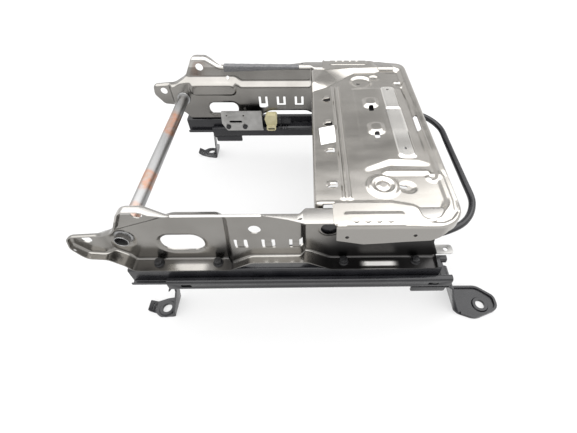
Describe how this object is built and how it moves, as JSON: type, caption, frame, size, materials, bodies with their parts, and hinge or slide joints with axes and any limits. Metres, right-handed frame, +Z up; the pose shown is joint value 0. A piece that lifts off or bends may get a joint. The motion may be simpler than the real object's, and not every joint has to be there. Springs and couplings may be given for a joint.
{
  "type": "seat frame",
  "caption": "Car seat cushion frame: pressed side members and front pan joined by a cross tube, bolted to sliding rails on feet, with a lift handle that frees the latches.",
  "frame": {"origin": "on the ground under the middle of the frame, at the level of the feet's soles", "axes": "+X is the way the seat faces, +Y is its left side, +Z is up"},
  "size_m": [0.6962, 0.5082, 0.2635],
  "materials": {
    "bare_steel": "bare zinc-coated pressing, satin grey",
    "pan_steel": "bright zinc-coated pressing",
    "tube_steel": "bare drawn tube with orange heat tint beside the joints",
    "black_coat": "glossy black dip coat",
    "zinc": "zinc-plated, satin",
    "black_bolt": "black phosphate",
    "foam": "dark grey closed-cell foam",
    "cream_plastic": "cream moulded plastic",
    "cage_steel": "plain steel strip and balls",
    "spring_steel": "dark spring wire"
  },
  "bodies": {
    "seat_frame": {"bracket_rivet_1": "black_bolt", "bracket_rivet_2": "black_bolt", "cable_tab": "zinc", "cross_tube": "tube_steel", "foam_strip_left": "foam", "frame_bolt_left_1": "black_bolt", "frame_bolt_left_2": "black_bolt", "frame_bolt_left_3": "black_bolt", "frame_bolt_left_4": "black_bolt", "frame_bolt_right_1": "black_bolt", "frame_bolt_right_2": "black_bolt", "frame_bolt_right_3": "black_bolt", "frame_bolt_right_4": "black_bolt", "front_pan": "pan_steel", "handle_pivot_left": "black_bolt", "handle_pivot_right": "black_bolt", "harness_bracket": "zinc", "harness_connector": "cream_plastic", "latch_bracket_left": "black_coat", "latch_bracket_right": "black_coat", "latch_pin_left": "black_bolt", "latch_pin_right": "black_bolt", "latch_spring_left": "spring_steel", "latch_spring_right": "spring_steel", "side_member_left": "bare_steel", "side_member_right": "bare_steel", "upper_rail_left": "black_coat", "upper_rail_right": "black_coat"},
    "lower_track_right": {"foot_rivet_right_1": "black_bolt", "foot_rivet_right_2": "black_bolt", "foot_rivet_right_3": "black_bolt", "foot_rivet_right_4": "black_bolt", "front_foot_right": "black_coat", "lower_rail_right": "black_coat", "rear_foot_right": "black_coat"},
    "ball_cages_right": {"ball_cage_right_inner": "cage_steel", "ball_cage_right_outer": "cage_steel"},
    "lower_track_left": {"foot_rivet_left_1": "black_bolt", "foot_rivet_left_2": "black_bolt", "foot_rivet_left_3": "black_bolt", "foot_rivet_left_4": "black_bolt", "front_foot_left": "black_coat", "lower_rail_left": "black_coat", "rear_foot_left": "black_coat"},
    "ball_cages_left": {"ball_cage_left_inner": "cage_steel", "ball_cage_left_outer": "cage_steel"},
    "handle": {"release_handle": "black_coat"},
    "latch_right": {"latch_lever_right": "black_coat"},
    "latch_left": {"latch_lever_left": "black_coat"}
  },
  "joints": [
    {"name": "track_slide_right", "type": "slide", "parent": "seat_frame", "child": "lower_track_right", "axis": [1, 0, 0], "range_m": [-0.1, 0.08]},
    {"name": "track_slide_left", "type": "slide", "parent": "seat_frame", "child": "lower_track_left", "axis": [1, 0, 0], "range_m": [-0.1, 0.08]},
    {"name": "cage_roll_right", "type": "slide", "parent": "seat_frame", "child": "ball_cages_right", "axis": [1, 0, 0], "range_m": [-0.051, 0.041]},
    {"name": "cage_roll_left", "type": "slide", "parent": "seat_frame", "child": "ball_cages_left", "axis": [1, 0, 0], "range_m": [-0.051, 0.041]},
    {"name": "handle_lift", "type": "hinge", "parent": "seat_frame", "child": "handle", "pos_m": [0.07, 0, 0.124], "axis": [0, -1, 0], "range_deg": [0, 6], "stiffness_Nm_per_rad": 2, "springref_deg": -20.05},
    {"name": "latch_turn_right", "type": "hinge", "parent": "seat_frame", "child": "latch_right", "pos_m": [0, -0.174, 0.116], "axis": [-1, 0, 0], "range_deg": [0, 18.5]},
    {"name": "latch_turn_left", "type": "hinge", "parent": "seat_frame", "child": "latch_left", "pos_m": [0, 0.174, 0.116], "axis": [1, 0, 0], "range_deg": [0, 18.5]}
  ],
  "couplings": [
    {"joint": "track_slide_left", "follows": "track_slide_right", "ratio": 1},
    {"joint": "cage_roll_right", "follows": "track_slide_right", "ratio": 0.5},
    {"joint": "cage_roll_left", "follows": "track_slide_right", "ratio": 0.5},
    {"joint": "latch_turn_right", "follows": "handle_lift", "ratio": 3},
    {"joint": "latch_turn_left", "follows": "handle_lift", "ratio": 3}
  ]
}
